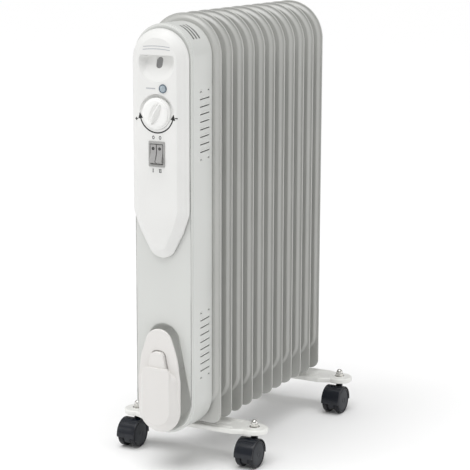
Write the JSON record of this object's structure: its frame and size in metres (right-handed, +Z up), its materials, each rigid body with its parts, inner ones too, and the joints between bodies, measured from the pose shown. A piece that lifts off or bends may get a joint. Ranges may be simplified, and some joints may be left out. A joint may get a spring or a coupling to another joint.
{
  "type": "oil filled radiator heater",
  "caption": "Upright oil filled column radiator on swivel castors, with a front control panel, a thermostat knob, rocker switches and a cord winder.",
  "frame": {"origin": "on the floor, under the middle of the heater's box", "axes": "+Z up, -Y the side with the controls, +X to the right as the heater is seen from the front"},
  "size_m": [0.2334, 0.432, 0.6399],
  "materials": {
    "fin_enamel": "smooth white enamel",
    "housing_enamel": "smooth white enamel",
    "fascia_plastic": "satin moulded",
    "knob_plastic": "satin moulded",
    "winder_plastic": "satin moulded",
    "inlet_plastic": "satin moulded",
    "grey_plastic": "satin moulded",
    "rocker_plastic": "satin moulded",
    "lens_plastic": "glossy tinted",
    "lamp_glass": "clear",
    "bolt_steel": "bright zinc plate",
    "element_steel": "drawn tube",
    "insulator": "ceramic",
    "thermostat_plastic": "phenolic moulding",
    "gasket_rubber": "moulded",
    "foot_enamel": "smooth white enamel",
    "castor_plastic": "glossy moulded",
    "wheel_plastic": "satin moulded"
  },
  "bodies": {
    "root": {"fin_01": "fin_enamel", "fin_02": "fin_enamel", "fin_03": "fin_enamel", "fin_04": "fin_enamel", "fin_05": "fin_enamel", "fin_06": "fin_enamel", "fin_07": "fin_enamel", "fin_08": "fin_enamel", "fin_09": "fin_enamel", "fin_10": "fin_enamel", "fin_11": "fin_enamel", "upper_collars": "fin_enamel", "lower_collars": "fin_enamel", "rear_caps": "fin_enamel", "filler_plug": "bolt_steel", "element_gasket": "gasket_rubber", "element_flange": "bolt_steel", "heating_element_1": "element_steel", "heating_element_2": "element_steel", "element_terminals": "insulator", "thermal_cutout": "thermostat_plastic", "control_housing": "housing_enamel", "housing_bracket": "bolt_steel", "housing_screws": "bolt_steel", "control_fascia": "fascia_plastic", "fascia_screws": "bolt_steel", "handle_slot_insert": "grey_plastic", "indicator_lens": "lens_plastic", "indicator_lamp": "lamp_glass", "thermostat_body": "thermostat_plastic", "switch_frame": "grey_plastic", "cord_winder": "winder_plastic", "winder_screws": "bolt_steel", "cable_inlet": "inlet_plastic", "front_foot": "foot_enamel", "rear_foot": "foot_enamel", "u_bolts": "bolt_steel", "u_bolt_nuts": "bolt_steel", "castor_nuts": "bolt_steel", "castor_stems": "bolt_steel"},
    "knob": {"thermostat_knob": "knob_plastic", "thermostat_shaft": "bolt_steel"},
    "left_rocker": {"rocker_left": "rocker_plastic"},
    "right_rocker": {"rocker_right": "rocker_plastic"},
    "swivel_front_left": {"castor_hood_front_left": "castor_plastic", "castor_axle_front_left": "bolt_steel"},
    "inner_wheel_front_left": {"inner_wheel_front_left": "wheel_plastic"},
    "outer_wheel_front_left": {"outer_wheel_front_left": "wheel_plastic"},
    "swivel_front_right": {"castor_hood_front_right": "castor_plastic", "castor_axle_front_right": "bolt_steel"},
    "inner_wheel_front_right": {"inner_wheel_front_right": "wheel_plastic"},
    "outer_wheel_front_right": {"outer_wheel_front_right": "wheel_plastic"},
    "swivel_rear_left": {"castor_hood_rear_left": "castor_plastic", "castor_axle_rear_left": "bolt_steel"},
    "inner_wheel_rear_left": {"inner_wheel_rear_left": "wheel_plastic"},
    "outer_wheel_rear_left": {"outer_wheel_rear_left": "wheel_plastic"},
    "swivel_rear_right": {"castor_hood_rear_right": "castor_plastic", "castor_axle_rear_right": "bolt_steel"},
    "inner_wheel_rear_right": {"inner_wheel_rear_right": "wheel_plastic"},
    "outer_wheel_rear_right": {"outer_wheel_rear_right": "wheel_plastic"}
  },
  "joints": [
    {"name": "thermostat_turn", "type": "hinge", "parent": "root", "child": "knob", "pos_m": [0, -0.2055, 0.509], "axis": [0, -1, 0], "range_deg": [-109, 161]},
    {"name": "rocker_left_press", "type": "hinge", "parent": "root", "child": "left_rocker", "pos_m": [-0.00505, -0.20253, 0.454], "axis": [1, 0, 0], "range_deg": [0, 22]},
    {"name": "rocker_right_press", "type": "hinge", "parent": "root", "child": "right_rocker", "pos_m": [0.00505, -0.20253, 0.454], "axis": [1, 0, 0], "range_deg": [0, 22]},
    {"name": "castor_swivel_front_left", "type": "hinge", "parent": "root", "child": "swivel_front_left", "pos_m": [-0.0972, -0.10147, 0.045], "axis": [0, 0, 1], "continuous": true},
    {"name": "inner_wheel_spin_front_left", "type": "hinge", "parent": "swivel_front_left", "child": "inner_wheel_front_left", "pos_m": [-0.08725, -0.11597, 0.02], "axis": [1, 0, 0], "continuous": true},
    {"name": "outer_wheel_spin_front_left", "type": "hinge", "parent": "swivel_front_left", "child": "outer_wheel_front_left", "pos_m": [-0.10715, -0.11597, 0.02], "axis": [1, 0, 0], "continuous": true},
    {"name": "castor_swivel_front_right", "type": "hinge", "parent": "root", "child": "swivel_front_right", "pos_m": [0.0972, -0.10147, 0.045], "axis": [0, 0, 1], "continuous": true},
    {"name": "inner_wheel_spin_front_right", "type": "hinge", "parent": "swivel_front_right", "child": "inner_wheel_front_right", "pos_m": [0.08725, -0.11597, 0.02], "axis": [1, 0, 0], "continuous": true},
    {"name": "outer_wheel_spin_front_right", "type": "hinge", "parent": "swivel_front_right", "child": "outer_wheel_front_right", "pos_m": [0.10715, -0.11597, 0.02], "axis": [1, 0, 0], "continuous": true},
    {"name": "castor_swivel_rear_left", "type": "hinge", "parent": "root", "child": "swivel_rear_left", "pos_m": [-0.0972, 0.19103, 0.045], "axis": [0, 0, 1], "continuous": true},
    {"name": "inner_wheel_spin_rear_left", "type": "hinge", "parent": "swivel_rear_left", "child": "inner_wheel_rear_left", "pos_m": [-0.08725, 0.17652, 0.02], "axis": [1, 0, 0], "continuous": true},
    {"name": "outer_wheel_spin_rear_left", "type": "hinge", "parent": "swivel_rear_left", "child": "outer_wheel_rear_left", "pos_m": [-0.10715, 0.17652, 0.02], "axis": [1, 0, 0], "continuous": true},
    {"name": "castor_swivel_rear_right", "type": "hinge", "parent": "root", "child": "swivel_rear_right", "pos_m": [0.0972, 0.19103, 0.045], "axis": [0, 0, 1], "continuous": true},
    {"name": "inner_wheel_spin_rear_right", "type": "hinge", "parent": "swivel_rear_right", "child": "inner_wheel_rear_right", "pos_m": [0.08725, 0.17652, 0.02], "axis": [1, 0, 0], "continuous": true},
    {"name": "outer_wheel_spin_rear_right", "type": "hinge", "parent": "swivel_rear_right", "child": "outer_wheel_rear_right", "pos_m": [0.10715, 0.17652, 0.02], "axis": [1, 0, 0], "continuous": true}
  ]
}
